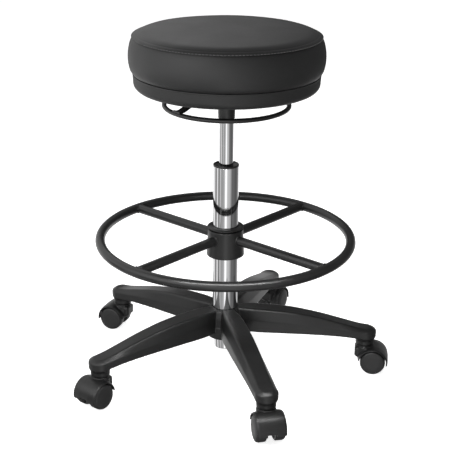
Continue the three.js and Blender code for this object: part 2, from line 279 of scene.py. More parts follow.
class Nodes:
    """A short way to write a node tree."""

    def __init__(self, name):
        self.material = bpy.data.materials.new(name)
        self.material.use_nodes = True
        self.tree = self.material.node_tree
        self.shader = self.tree.nodes["Principled BSDF"]
        self.where = self.add("ShaderNodeTexCoord").outputs["Object"]

    def add(self, kind, inputs=None, **settings):
        node = self.tree.nodes.new(kind)
        for key, value in settings.items():
            setattr(node, key, value)
        for key, value in (inputs or {}).items():
            if isinstance(value, bpy.types.NodeSocket):
                self.tree.links.new(value, node.inputs[key])
            else:
                node.inputs[key].default_value = value
        return node

    def noise(self, scale, detail=3.0, roughness=0.5, where=None):
        inputs = {"Vector": where or self.where, "Scale": scale, "Detail": detail, "Roughness": roughness}
        return self.add("ShaderNodeTexNoise", inputs).outputs["Fac"]

    def span(self, value, low_in, high_in, low_out, high_out):
        inputs = {"Value": value, "From Min": low_in, "From Max": high_in,
                  "To Min": low_out, "To Max": high_out}
        return self.add("ShaderNodeMapRange", inputs).outputs["Result"]

    def mix(self, factor, a, b):
        """A colour between a and b, through the Mix node's colour sockets of those names."""
        node = self.add("ShaderNodeMix", {"Factor": factor}, data_type="RGBA")
        for key, value in (("A", a), ("B", b)):
            socket = next(s for s in node.inputs if s.name == key and s.type == "RGBA")
            if isinstance(value, bpy.types.NodeSocket):
                self.tree.links.new(value, socket)
            else:
                socket.default_value = value
        return next(s for s in node.outputs if s.type == "RGBA")

    def bump(self, height, strength, distance, normal=None):
        inputs = {"Height": height, "Strength": strength, "Distance": distance}
        if normal:
            inputs["Normal"] = normal
        return self.add("ShaderNodeBump", inputs).outputs["Normal"]

    def set(self, **values):
        for key, value in values.items():
            socket = self.shader.inputs[key.replace("_", " ")]
            if isinstance(value, bpy.types.NodeSocket):
                self.tree.links.new(value, socket)
            else:
                socket.default_value = value
        return self


def grey(value, tint=0.0):
    return (value, value, value * (1 + tint), 1)


def vinyl_material():
    """Black leatherette: pebbled grain, a satin top coat, faint handling shine."""
    n = Nodes("vinyl")
    warp = n.noise(140, 2)
    cells = n.add("ShaderNodeTexVoronoi", {"Vector": n.where, "Scale": 760.0, "Randomness": 0.9},
                  feature="DISTANCE_TO_EDGE").outputs["Distance"]
    pebbles = n.span(cells, 0.0, 0.35, 0.0, 1.0)
    pores = n.noise(2600, 2)
    cloud = n.noise(9, 4)
    grain = n.bump(pebbles, 0.16, 0.00025)
    grain = n.bump(pores, 0.05, 0.0001, grain)
    grain = n.bump(warp, 0.06, 0.0006, grain)
    n.set(Base_Color=n.mix(cloud, grey(0.0075, 0.02), grey(0.0115, 0.02)),
          Roughness=n.span(cloud, 0.3, 0.7, 0.42, 0.50), Normal=grain)
    n.set(Specular_IOR_Level=0.5, Coat_Weight=0.08, Coat_Roughness=0.35)
    return n.material


def moulded_material(name, shade, rough, scale=1500, strength=0.12, wear=0.35):
    """Moulded plastic with a spark-eroded texture and a little polish where edges stand out."""
    n = Nodes(name)
    texture = n.noise(scale, 3, 0.6)
    cloud = n.noise(14, 4)
    edges = n.add("ShaderNodeNewGeometry").outputs["Pointiness"]
    rubbed = n.span(edges, 0.52, 0.60, 0.0, wear)
    base = n.mix(cloud, grey(shade * 0.9), grey(shade * 1.12))
    n.set(Base_Color=n.mix(rubbed, base, grey(shade * 2.0)),
          Roughness=n.span(cloud, 0.3, 0.7, rough - 0.05, rough + 0.05),
          Normal=n.bump(texture, strength, 0.0002))
    n.set(Specular_IOR_Level=0.5)
    return n.material


def powder_material():
    """Satin black powder coat with a faint orange peel."""
    n = Nodes("powder")
    peel = n.noise(420, 2)
    fine = n.noise(2200, 2)
    cloud = n.noise(20, 3)
    normal = n.bump(fine, 0.04, 0.0001, n.bump(peel, 0.10, 0.0003))
    n.set(Base_Color=n.mix(cloud, grey(0.006), grey(0.010)),
          Roughness=n.span(cloud, 0.3, 0.7, 0.27, 0.35), Normal=normal)
    n.set(Specular_IOR_Level=0.55)
    return n.material


def chrome_material():
    """Polished chrome with faint drawing marks along the tube and light smears."""
    n = Nodes("chrome")
    stretched = n.add("ShaderNodeMapping", {"Vector": n.where, "Scale": (900.0, 900.0, 6.0)})
    marks = n.noise(1.0, 2, where=stretched.outputs["Vector"])
    smear = n.noise(26, 4)
    n.set(Base_Color=n.mix(smear, grey(0.78, 0.01), grey(0.86, 0.015)), Metallic=1.0,
          Roughness=n.span(smear, 0.35, 0.75, 0.035, 0.085),
          Normal=n.bump(marks, 0.035, 0.00008))
    return n.material


def steel_material():
    n = Nodes("steel")
    cloud = n.noise(60, 4)
    n.set(Base_Color=n.mix(cloud, grey(0.42, 0.02), grey(0.56, 0.03)), Metallic=1.0,
          Roughness=n.span(cloud, 0.3, 0.7, 0.28, 0.42), Normal=n.bump(n.noise(900, 2), 0.05, 0.0001))
    return n.material


def foam_material():
    n = Nodes("foam")
    cells = n.add("ShaderNodeTexVoronoi", {"Vector": n.where, "Scale": 420.0}).outputs["Distance"]
    n.set(Base_Color=n.mix(n.noise(12), (0.80, 0.73, 0.52, 1), (0.88, 0.82, 0.62, 1)), Roughness=0.95,
          Normal=n.bump(cells, 0.6, 0.0008))
    return n.material


def plywood_material():
    n = Nodes("plywood")
    along = n.add("ShaderNodeMapping", {"Vector": n.where, "Scale": (6.0, 90.0, 6.0)}).outputs["Vector"]
    figure = n.noise(1.0, 5, where=along)
    n.set(Base_Color=n.mix(figure, (0.42, 0.27, 0.14, 1), (0.66, 0.48, 0.29, 1)), Roughness=0.7,
          Normal=n.bump(figure, 0.15, 0.0003))
    return n.material


def rubber_material():
    n = Nodes("rubber")
    n.set(Base_Color=n.mix(n.noise(30), grey(0.012), grey(0.022)), Roughness=0.85,
          Normal=n.bump(n.noise(1200), 0.1, 0.0002))
    return n.material


def thread_material():
    """Waxed upholstery thread, a shade lighter than the cover it is sewn through."""
    n = Nodes("thread")
    n.set(Base_Color=n.mix(n.noise(900), grey(0.06), grey(0.09)), Roughness=0.55,
          Normal=n.bump(n.noise(2400), 0.2, 0.0002))
    return n.material


LOOKS = {
    "vinyl": vinyl_material(),
    "pan": moulded_material("pan", 0.011, 0.52, 1100, 0.10),
    "powder": powder_material(),
    "chrome": chrome_material(),
    "steel": steel_material(),
    "nylon": moulded_material("nylon", 0.008, 0.38, 1300, 0.14),
    "acetal": moulded_material("acetal", 0.010, 0.34, 2400, 0.04, 0.2),
    "tread": moulded_material("tread", 0.012, 0.46, 1600, 0.08),
    "foam": foam_material(),
    "plywood": plywood_material(),
    "rubber": rubber_material(),
    "thread": thread_material(),
}


def finish_piece(piece, body, slot, *nodes):
    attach(piece, body)
    if nodes:
        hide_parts(*nodes)
    return piece


# ---------------------------------------------------------------- seat

SEAM_R, SEAM_Z = 177.2, 679.6  # the seam between the boxing and the top panel
TOPSTITCH_R, TOPSTITCH_Z = 169.8, 685.4
COVER_SIDES = 160
BOXING_ROWS = 15
STITCH_PITCH, STITCH_LENGTH, THREAD_R = 6.4, 4.2, 0.7
CLOTH_FRAMES = 20


def cover_outline():
    """The cover's (r, z, pin) points from under its edge, up the boxing and over the top panel."""
    top = high("seat_cover")
    pan_top = high("seat_pan")
    inside = radius("seat_pan") - 4
    wide = radius("seat_cover")
    under = [(inside - 14, pan_top - 10, 1), (inside - 1, pan_top - 10, 1), (inside, pan_top - 2, 1),
             (wide - 9.2, pan_top + 0.8, 1)]
    boxing = []
    rise = SEAM_Z - 1.2 - (pan_top + 1.4)
    for k in range(BOXING_ROWS):
        t = k / (BOXING_ROWS - 1)
        z = pan_top + 1.4 + rise * t
        belly = math.sin(math.pi * t ** 0.92) ** 0.62
        r = wide - 8.2 + 7.4 * belly + 1.4 * t * (1 - t)
        boxing.append((r, z, 1 if t in (0, 1) else 0))
    seam = [(SEAM_R - 1.0, SEAM_Z - 0.6, 1), (SEAM_R - 2.0, SEAM_Z + 0.2, 1), (SEAM_R - 1.6, SEAM_Z + 1.0, 1),
            (SEAM_R - 0.3, SEAM_Z + 1.5, 1), (SEAM_R - 0.6, SEAM_Z + 2.6, 1), (SEAM_R - 2.4, SEAM_Z + 3.7, 1),
            (TOPSTITCH_R + 1.2, TOPSTITCH_Z + 0.2, 1), (TOPSTITCH_R, TOPSTITCH_Z - 0.1, 1),
            (TOPSTITCH_R - 1.2, TOPSTITCH_Z + 1.0, 1)]
    crown = [(166.0, top - 4.4, 1), (161.5, top - 2.6, 1), (156.5, top - 1.3, 1), (151.0, top - 0.6, 1),
             (145.0, top - 0.3, 0)]
    inner = [(r, top + 0.1, 0) for r in (136, 124, 110, 94, 76, 56, 36, 18)]
    return under + boxing + seam + crown + inner + [(0.0, top + 0.1, 0)]


def seat_cover():
    outline = cover_outline()
    points, faces, pins = [], [], []
    rows = []
    for r, z, pin in outline:
        if r == 0:
            rows.append([len(points)] * COVER_SIDES)
            points.append((0, 0, z))
            continue
        start = len(points)
        rows.append(list(range(start, start + COVER_SIDES)))
        for k in range(COVER_SIDES):
            turn = TAU * k / COVER_SIDES
            points.append((r * math.cos(turn), r * math.sin(turn), z))
            if pin:
                pins.append(start + k)
    for row, following in zip(rows, rows[1:]):
        for k in range(COVER_SIDES):
            n = (k + 1) % COVER_SIDES
            faces.append(list(dict.fromkeys([row[k], row[n], following[n], following[k]])))
    piece = link("seat_cover_sewn", mesh_from("seat_cover_sewn", points, faces, 80), LOOKS["vinyl"])
    held = piece.vertex_groups.new(name="held")
    held.add(pins, 1.0, "REPLACE")
    puff(piece, held, pressure=3.0, cap=2.0)
    crumple(piece)
    fine = piece.modifiers.new("fine", "SUBSURF")
    fine.levels = fine.render_levels = 1
    applied(piece)
    piece.vertex_groups.clear()
    piece.data.shade_smooth()
    finish_piece(piece, "seat", "vinyl", "seat_cover")


def coordinates(mesh):
    co = np.zeros(len(mesh.vertices) * 3)
    mesh.vertices.foreach_get("co", co)
    return co.reshape(-1, 3)


def puff(piece, held, pressure, cap):
    """Cloth simulation: the foam's push on the cover, held along its seams. No point moves over `cap` mm."""
    rest = coordinates(piece.data)
    cloth = piece.modifiers.new("cloth", "CLOTH")
    cloth.settings.quality = 6
    cloth.settings.mass = 0.4
    cloth.settings.tension_stiffness = 25
    cloth.settings.compression_stiffness = 25
    cloth.settings.shear_stiffness = 10
    cloth.settings.bending_stiffness = 2
    cloth.settings.use_pressure = True
    cloth.settings.uniform_pressure_force = pressure
    cloth.settings.effector_weights.gravity = 0
    cloth.settings.vertex_group_mass = held.name
    cloth.collision_settings.use_collision = False
    scene = bpy.context.scene
    for step in range(1, CLOTH_FRAMES + 1):
        scene.frame_set(step)
    graph = bpy.context.evaluated_depsgraph_get()
    swollen = coordinates(piece.evaluated_get(graph).data)
    move = swollen - rest
    length = np.linalg.norm(move, axis=1)
    limit = cap * MM
    keep = np.where(length > 1e-9, limit * np.tanh(length / limit) / np.maximum(length, 1e-9), 0)
    settled = rest + move * keep[:, None]
    piece.modifiers.remove(cloth)
    piece.data.vertices.foreach_set("co", settled.ravel())
    piece.data.update()
    scene.frame_set(1)


def crumple(piece):
    """The slight unevenness of a sewn cover: pulls along the seams and a soft wave in the boxing."""
    co = coordinates(piece.data)
    for i, (x, y, z) in enumerate(co):
        r = math.hypot(x, y)
        if r < 1e-5:
            continue
        turn = math.atan2(y, x)
        near_seam = math.exp(-((z / MM - SEAM_Z) / 9.0) ** 2) if r / MM > 160 else 0
        wave = noise.noise(Vector((math.cos(turn) * 5, math.sin(turn) * 5, z * 22)))
        pull = noise.noise(Vector((math.cos(turn) * 24, math.sin(turn) * 24, 3.0)))
        out = (0.45 * wave + 0.22 * pull * near_seam) * MM
        lift = 0.35 * MM * noise.noise(Vector((x * 14, y * 14, 7.0))) if z / MM > SEAM_Z + 4 else 0
        co[i] = (x * (1 + out / r), y * (1 + out / r), z + lift)
    piece.data.vertices.foreach_set("co", co.ravel())
    piece.data.update()


def seam_stitches():
    """A row of thread stitches that sits in the seam between the boxing and the top panel."""
    count = round(TAU * SEAM_R / STITCH_PITCH)
    half = STITCH_LENGTH / 2 / SEAM_R
    solids = []
    for k in range(count):
        path = []
        for j in range(7):
            t = j / 6 * 2 - 1
            turn = TAU * k / count + t * half
            dip = 0.9 * abs(t) ** 3
            out = SEAM_R + 0.1 - dip
            path.append(Vector((out * math.cos(turn), out * math.sin(turn), SEAM_Z + 2.3 - dip * 0.4)))
        solids.append(tube_points(path, lambda i: THREAD_R * (0.55 if i in (0, 6) else 1), 6, closed=False))
    points, faces = joined(*solids)
    piece = link("seam_stitches", mesh_from("seam_stitches", points, faces, 80), LOOKS["thread"])
    finish_piece(piece, "seat", "vinyl")


def seat_foam():
    inside = radius("seat_cover") - 13
    bottom, top = low("seat_foam"), high("seat_cover") - 6
    corners = [(0, bottom, 0), (inside - 8, bottom, 4), (inside, bottom + 20, 20), (inside, top - 22, 20),
               (inside - 14, top - 4, 12), (0, top, 60)]
    finish_piece(turned("seat_foam_pad", corners, LOOKS["foam"], 96, 6), "seat", "foam", "seat_foam")


def seat_pan():
    r, bottom, top = radius("seat_pan"), low("seat_pan"), high("seat_pan")
    corners = [(0, bottom, 0), (r - 1.4, bottom, 13), (r, top - 2.6, 2), (r + 0.5, top - 1.8, 0.4),
               (r + 0.5, top, 0.5), (r - 3, top, 0.5), (r - 4, bottom + 3, 11), (0, bottom + 3, 0)]
    piece = turned("seat_pan_shell", corners, LOOKS["pan"], 192, 8)
    finish_piece(piece, "seat", "pan", "seat_pan")


# ---------------------------------------------------------------- plate, socket and release

RELEASE_ARM_TURNS = [math.radians(degrees) for degrees in (40, 220)]
RELEASE_ARM_HALF_W, RELEASE_ARM_THICK = 9.0, 3.0


def seat_plate():
    a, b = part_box("mounting_plate")
    half = (b.x - a.x) / 2 / MM
    floor, top = a.z / MM, b.z / MM
    thick, dish = 3.0, 60.0
    square = rounded([(-half, -half, 14), (half, -half, 14), (half, half, 14), (-half, half, 14)], 6)
    flange = mesh_from("plate", *prism(square, top - thick, top, 0.6), 35)
    piece = link("mounting_plate_pressed", flange, LOOKS["powder"])
    carve(piece, rod_solid(dish - thick, floor - 5, top + 5, 96))
    inner = radius("seat_socket") + 0.3
    bowl = [(inner, floor, 0.4), (dish - 2, floor, 7), (dish, top - 1, 0), (dish, top, 0.2),
            (dish - thick, top, 0.2), (dish - thick, floor + thick, 5), (inner, floor + thick, 0.4)]
    carve(piece, turned_solid(bowl, 96), "UNION")
    window = rounded([(40, -12, 3), (80, -12, 3), (80, 12, 3), (40, 12, 3)], 4)
    slot = prism(window, floor + 6, floor + 23)
    for turn in RELEASE_ARM_TURNS:
        carve(piece, moved(slot, Matrix.Rotation(turn, 4, "Z")))
    piece.data.shade_smooth()
    piece.data.set_sharp_from_angle(angle=math.radians(35))
    finish_piece(piece, "seat", "powder", "mounting_plate")


def seat_bolts():
    for node in nodes_called("seat_bolt_"):
        a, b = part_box(node)
        place = (a + b) / 2 * FLAT
        base = a.z / MM
        hexagon = [(6 * math.cos(TAU * k / 6), 6 * math.sin(TAU * k / 6), 0.5) for k in range(6)]
        head = prism(rounded(hexagon, 2), base, base + 4, 0.5)
        washer = [(0, base + 3.4, 0), (6.6, base + 3.4, 0.3), (6.6, base + 4.2, 0.3), (0, base + 4.2, 0)]
        shank = rod_solid(3, base + 4, b.z / MM, 32)
        bolt = joined(head, turned_solid(washer, 48, 3), shank)
        piece = link(node + "_hex", mesh_from(node, *bolt, 30), LOOKS["steel"], place)
        finish_piece(piece, "seat", "steel", node)


def seat_socket():
    r, bottom, top = radius("seat_socket"), low("seat_socket"), high("seat_socket")
    corners = [(14.2, bottom, 0.6), (r, bottom, 1.0), (r + 0.3, top, 0.8), (13.3, top, 0.6)]
    piece = turned("seat_socket_tube", corners, LOOKS["powder"], 96, 4)
    finish_piece(piece, "seat", "powder", "seat_socket")


def release():
    wire_a, wire_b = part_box("release_ring")
    wire = (wire_b.z - wire_a.z) / 2 / MM
    r = radius("release_ring") - wire
    z = (wire_a.z + wire_b.z) / 2 / MM
    piece = ring("release_ring_wire", r, z, wire, 192, 24)
    finish_piece(piece, "release_ring", "powder", "release_ring")

    flat = high("release_plate") - RELEASE_ARM_THICK
    path = [(10, flat), (58, flat), (62, flat - 0.6), (66, flat - 2.2), (r - 12, z + 3.4), (r - 5, z + 2.2),
            (r - 1, z + wire - 1.4), (r + 3, z + wire - 1.2)]
    half, thick = RELEASE_ARM_HALF_W, RELEASE_ARM_THICK
    section = rounded([(-half, 0, 1), (half, 0, 1), (half, thick, 1), (-half, thick, 1)], 3)
    rings = []
    for i, (x, height) in enumerate(path):
        ahead = path[min(i + 1, len(path) - 1)]
        behind = path[max(i - 1, 0)]
        lean = math.atan2(ahead[1] - behind[1], ahead[0] - behind[0])
        flare = 1.25 if i >= len(path) - 2 else 1
        rings.append([Vector((x - math.sin(lean) * p.y, p.x * flare, height + math.cos(lean) * p.y))
                      for p in section])
    arm = loft(rings)
    disc = turned_solid([(0, flat, 0), (20, flat, 0.8), (20, flat + 3, 0.8), (0, flat + 3, 0)], 64, 3)
    arms = [moved(arm, Matrix.Rotation(turn, 4, "Z")) for turn in RELEASE_ARM_TURNS]
    pressed = mesh_from("release_plate_pressed", *joined(disc, *arms), 35)
    piece = link("release_plate_pressed", pressed, LOOKS["powder"])
    finish_piece(piece, "release_ring", "powder", "release_plate")


# ---------------------------------------------------------------- gas lift

CRIMP_DROP, CRIMP_TURN = 14, math.radians(-24)  # the dimple under the column's rim that holds the bushing


def gas_lift():
    r, bottom, top = radius("gas_cylinder"), low("gas_cylinder"), high("gas_cylinder")
    neck = low("seat_socket")
    taper = high("seat_socket")
    corners = [(5.4, bottom, 0.3), (r - 0.6, bottom, 1), (r, bottom + 2, 1), (r, neck, 0),
               (r - 1, taper, 0.5), (r - 2, top, 0.8), (4.3, top, 0.4), (4.3, top - 13, 0), (0, top - 13, 0),
               (0, top - 23, 0),
               (11.8, top - 23, 0.5), (11.8, bottom + 14.5, 0.5), (5.4, bottom + 14.5, 0.3)]
    piece = turned("gas_cylinder_tube", corners, LOOKS["chrome"], 128, 4)
    finish_piece(piece, "seat", "chrome", "gas_cylinder")

    top, bottom = high("guide_bushing"), low("guide_bushing")
    outer = radius("guide_bushing")
    inner = radius("column_tube") - 2.3
    lip = high("column_tube") + 0.3
    corners = [(14.3, bottom, 0.4), (inner, bottom, 0.6), (inner, lip, 0.2), (outer, lip, 0.3),
               (outer, top, 0.9), (outer - 1.8, top, 0.8), (outer - 3.4, top - 2.4, 1.2),
               (15.6, top - 4.4, 0.8), (14.3, top - 4.6, 0.3)]
    piece = turned("guide_bushing_lip", corners, LOOKS["acetal"], 128, 4)
    finish_piece(piece, "base", "acetal", "guide_bushing")

    r, bottom, top = radius("column_tube"), low("column_tube"), high("column_tube")
    corners = [(r - 6.5, bottom, 0.6), (r - 3.4, bottom, 2.2), (r - 2.6, bottom + 22, 6),
               (r - 1.7, bottom + 26, 6), (r, bottom + 96, 30), (r, top, 0.4), (r - 2, top, 0.4),
               (r - 2, bottom + 96, 30), (r - 5, bottom + 12, 0), (5.3, bottom + 12, 0.3),
               (5.3, bottom + 8, 0.3), (r - 6.5, bottom + 8, 1)]
    piece = turned("column_tube_chromed", corners, LOOKS["chrome"], 160, 5)
    finish_piece(piece, "base", "chrome", "column_tube")
    crimp = turned_solid([(0, -0.6, 0), (1.5, -0.6, 0), (1.5, 0.14, 0.4), (0.9, 0.2, 0.3), (0.5, 0.05, 0.2),
                          (0, 0.0, 0)], 24, 4)
    flush = Matrix.Translation((r, 0, top - CRIMP_DROP)) @ Matrix.Rotation(math.pi / 2, 4, "Y")
    crimp = moved(crimp, Matrix.Rotation(CRIMP_TURN, 4, "Z") @ flush)
    piece = link("column_crimp", mesh_from("column_crimp", *crimp), LOOKS["chrome"])
    finish_piece(piece, "base", "chrome")


# ---------------------------------------------------------------- foot ring

SPOKE_R = 9.2
HUB_TOP_R = 35
BEAD_STEPS = 96


def foot_ring():
    a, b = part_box("foot_ring")
    tube = (b.z - a.z) / 2 / MM
    r = radius("foot_ring") - tube
    z = (a.z + b.z) / 2 / MM
    piece = ring("foot_ring_tube", r, z, tube, 256, 32)
    finish_piece(piece, "foot_ring", "powder", "foot_ring")

    bottom, top = low("foot_hub"), high("foot_hub")
    wide = radius("foot_hub")
    corners = [(30.5, bottom, 0.5), (wide - 0.4, bottom, 2.2), (wide, bottom + 1.5, 2),
               (wide - 0.6, bottom + 14, 30), (wide - 2.0, z + 4, 30), (HUB_TOP_R, top, 1.4), (31.5, top, 1),
               (30.5, top - 1.5, 0.5)]
    piece = turned("foot_hub_turned", corners, LOOKS["powder"])
    finish_piece(piece, "foot_ring", "powder", "foot_hub")

    def hub_r(height):
        t = (height - bottom) / (top - bottom)
        return wide - (wide - HUB_TOP_R) * t

    def ring_inside(height):
        return r - math.sqrt(max(tube ** 2 - (height - z) ** 2, 0.1))

    along = [Vector((x, 0, z)) for x in (30, 36, 90, 150, 210, r - tube, r - 3)]
    shaft = tube_points(along, lambda i: SPOKE_R, 48, closed=False)
    for node in sorted(nodes_called("foot_spoke_")):
        corner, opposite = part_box(node)
        middle = (corner + opposite) / 2 - AXIS
        turn = math.atan2(middle.y, middle.x)
        bar = mesh_from(node, *moved(shaft, Matrix.Rotation(turn, 4, "Z")), 50)
        piece = link(node + "_bar", bar, LOOKS["powder"])
        finish_piece(piece, "foot_ring", "powder", node)
        weld_bead(node + "_weld_in", turn, z, hub_r)
        weld_bead(node + "_weld_out", turn, z, ring_inside)

    base, top = low("foot_collet"), high("foot_collet")
    groove = high("foot_hub") + 3
    corners = [(25.35, base, 0.4), (30.2, base, 0.4), (30.2, groove, 0.2), (34.6, groove, 0.8),
               (36, groove + 1.4, 1.2), (35.6, top - 2.4, 2.2), (32, top - 0.9, 3), (27.6, top, 1.2),
               (25.35, top - 1.2, 0.8)]
    piece = turned("foot_collet_split", corners, LOOKS["acetal"])
    carve(piece, prism([Vector(p) for p in ((-45, -1), (-20, -1), (-20, 1), (-45, 1))], base - 4, top + 4))
    piece.data.shade_smooth()
    piece.data.set_sharp_from_angle(angle=math.radians(35))
    finish_piece(piece, "foot_collet", "acetal", "foot_collet")


def weld_bead(name, turn, z, joint_r):
    """A rippled bead round the end of a spoke, where it meets a surface of radius joint_r(height)."""
    seed = sum(map(ord, name))
    path = []
    for k in range(BEAD_STEPS):
        side, rise = math.cos(TAU * k / BEAD_STEPS), math.sin(TAU * k / BEAD_STEPS)
        edge = SPOKE_R * 0.98
        out = math.sqrt(joint_r(z + edge * rise) ** 2 - (edge * side) ** 2)
        path.append(Vector((out, (SPOKE_R + 0.35) * side, z + (SPOKE_R + 0.35) * rise)))

    def width(i):
        t = TAU * i / BEAD_STEPS
        drift = noise.noise(Vector((math.cos(t) * 1.7, math.sin(t) * 1.7, seed)))
        return 1.35 + 0.22 * math.sin(14 * t) + 0.45 * drift

    bead = moved(tube_points(path, width, 12), Matrix.Rotation(turn, 4, "Z"))
    piece = link(name, mesh_from(name, *bead, 80), LOOKS["powder"])
    finish_piece(piece, "foot_ring", "powder")


# ---------------------------------------------------------------- star base

# Arm stations: distance from the column, half widths of the top face and of the sides, and the heights
# of the top face, of the foot of its shoulders and of the lower edge.
ARM_STATIONS = [
    (24, 12.5, 14, 134.5, 113, 86),
    (60, 17, 22, 134.5, 111, 85.5),
    (131, 17.4, 24.2, 129, 107, 85),
    (190, 16, 24, 118.2, 100.5, 83.3),
    (240, 14.4, 23, 105.4, 94.2, 80),
    (270, 13.6, 22.2, 97.4, 90.4, 76),
    (288, 13.3, 21.6, 94.4, 88.6, 74),
]
ARM_WALL = 4.0
RIB_HALF_THICK = 1.4
CROSS_RIBS = (92, 140, 188, 232)


def arm_station(s):
    """The arm's sizes at distance s, on a smooth curve through the stations."""
    known = np.array(ARM_STATIONS, float)
    i = int(np.clip(np.searchsorted(known[:, 0], s) - 1, 0, len(known) - 2))
    p1, p2 = known[i], known[i + 1]
    p0 = known[i - 1] if i else p1
    p3 = known[i + 2] if i + 2 < len(known) else p2
    span = p2[0] - p1[0]
    t = (s - p1[0]) / span
    m1 = (p2 - p0) / max(p2[0] - p0[0], 1) * span
    m2 = (p3 - p1) / max(p3[0] - p1[0], 1) * span
    blend = 3 * t**2 - 2 * t**3
    value = (1 - blend) * p1 + (t**3 - 2 * t**2 + t) * m1 + blend * p2 + (t**3 - t**2) * m2
    return value[1:]


def arm_section(s):
    """An upside-down trough: the arm's outer outline, then its hollow from underneath."""
    wall = ARM_WALL
    top, side, crest, shoulder, edge = arm_station(s)
    outer = [(-side, edge, 1.2), (-side, shoulder, 6), (-top, crest, 5), (top, crest, 5), (side, shoulder, 6),
             (side, edge, 1.2)]
    inner = [(side - wall, edge, 1.2), (side - wall, shoulder - 1, 4), (top - wall + 1, crest - wall, 3),
             (-top + wall - 1, crest - wall, 3), (-side + wall, shoulder - 1, 4), (-side + wall, edge, 1.2)]
    return [Vector((s, p.x, p.y)) for p in rounded(outer + inner, 4)]


def star_base():
    stems = [Vector(JOINTS[c + "_swivel"]["pos_m"]) - AXIS for c in CASTERS]
    reach = Vector((stems[0].x, stems[0].y)).length / MM
    foot = low("star_base")
    arm = loft([arm_section(s) for s in np.linspace(26, reach, 52)])
    boss_top = arm_station(reach)[2]
    boss = turned_solid([(0, foot, 0), (18.4, foot, 0.8), (18.8, foot + 9.5, 1.5), (22.0, foot + 15.5, 2.5),
                         (22.2, 88.8, 5), (13.4, boss_top - 0.3, 5), (0, boss_top, 0)], 64, 6)
    boss = moved(boss, Matrix.Translation((reach, 0, 0)))
    ribs = [middle_rib(reach)]
    for x in CROSS_RIBS:
        top, side, crest, shoulder, edge = arm_station(x)
        x0, x1 = x - RIB_HALF_THICK, x + RIB_HALF_THICK
        ribs.append(box_solid(x0, x1, -side + 2, side - 2, edge + 3, shoulder - 2))
        ribs.append(box_solid(x0, x1, -top + 2, top - 2, shoulder - 4, crest - 3))
    hub = turned_solid([(25.0, 72, 0.6), (36.6, 72, 1.6), (37.2, 97, 1.2), (35.8, 98.8, 0.8), (35.6, 116, 6),
                        (31.5, 130, 6), (27.5, 134.6, 1.5), (25.4, 134.6, 0.6)])
    solids = [hub]
    for stem in stems:
        turn = Matrix.Rotation(math.atan2(stem.y, stem.x), 4, "Z")
        solids += [moved(one, turn) for one in [arm, boss] + ribs]
    piece = link("star_base_moulded", mesh_from("star_base_moulded", *joined(*solids)), LOOKS["nylon"])
    moulded(piece, 1.2, 4)
    carve(piece, rod_solid(25.3, 60, 150, 128))
    for stem in stems:
        hole = rod_solid(6.1, foot - 4, foot + 24, 32)
        carve(piece, moved(hole, Matrix.Translation(stem / MM * FLAT)))
    piece.data.shade_smooth()
    piece.data.set_sharp_from_angle(angle=math.radians(50))
    finish_piece(piece, "base", "nylon", "star_base")


def box_solid(x0, x1, y0, y1, z0, z1):
    rect = [Vector((x0, y0)), Vector((x1, y0)), Vector((x1, y1)), Vector((x0, y1))]
    return loft([[Vector((*p, z)) for p in rect] for z in (z0, z1)])


def middle_rib(reach):
    """The rib along the middle of an arm's hollow, which follows its top."""
    half = RIB_HALF_THICK
    rings = []
    for s in np.linspace(34, reach - 14, 20):
        _, _, crest, _, edge = arm_station(s)
        corners = (-half, edge + 2), (half, edge + 2), (half, crest - 2), (-half, crest - 2)
        rings.append([Vector((s, y, h)) for y, h in corners])
    return loft(rings)


# ---------------------------------------------------------------- casters

HOOD_R, HOOD_INNER_R, HOOD_HALF_W = 31.0, 27.3, 28
HOOD_FROM_DEG, HOOD_TO_DEG = -9, 172  # how far the hood reaches round the wheels
NECK_R = 18.6
WEB_R, WEB_HALF_W = 15, 7.6
WHEEL_R, WHEEL_INNER, WHEEL_OUTER = 25.4, 8.3, 28.9


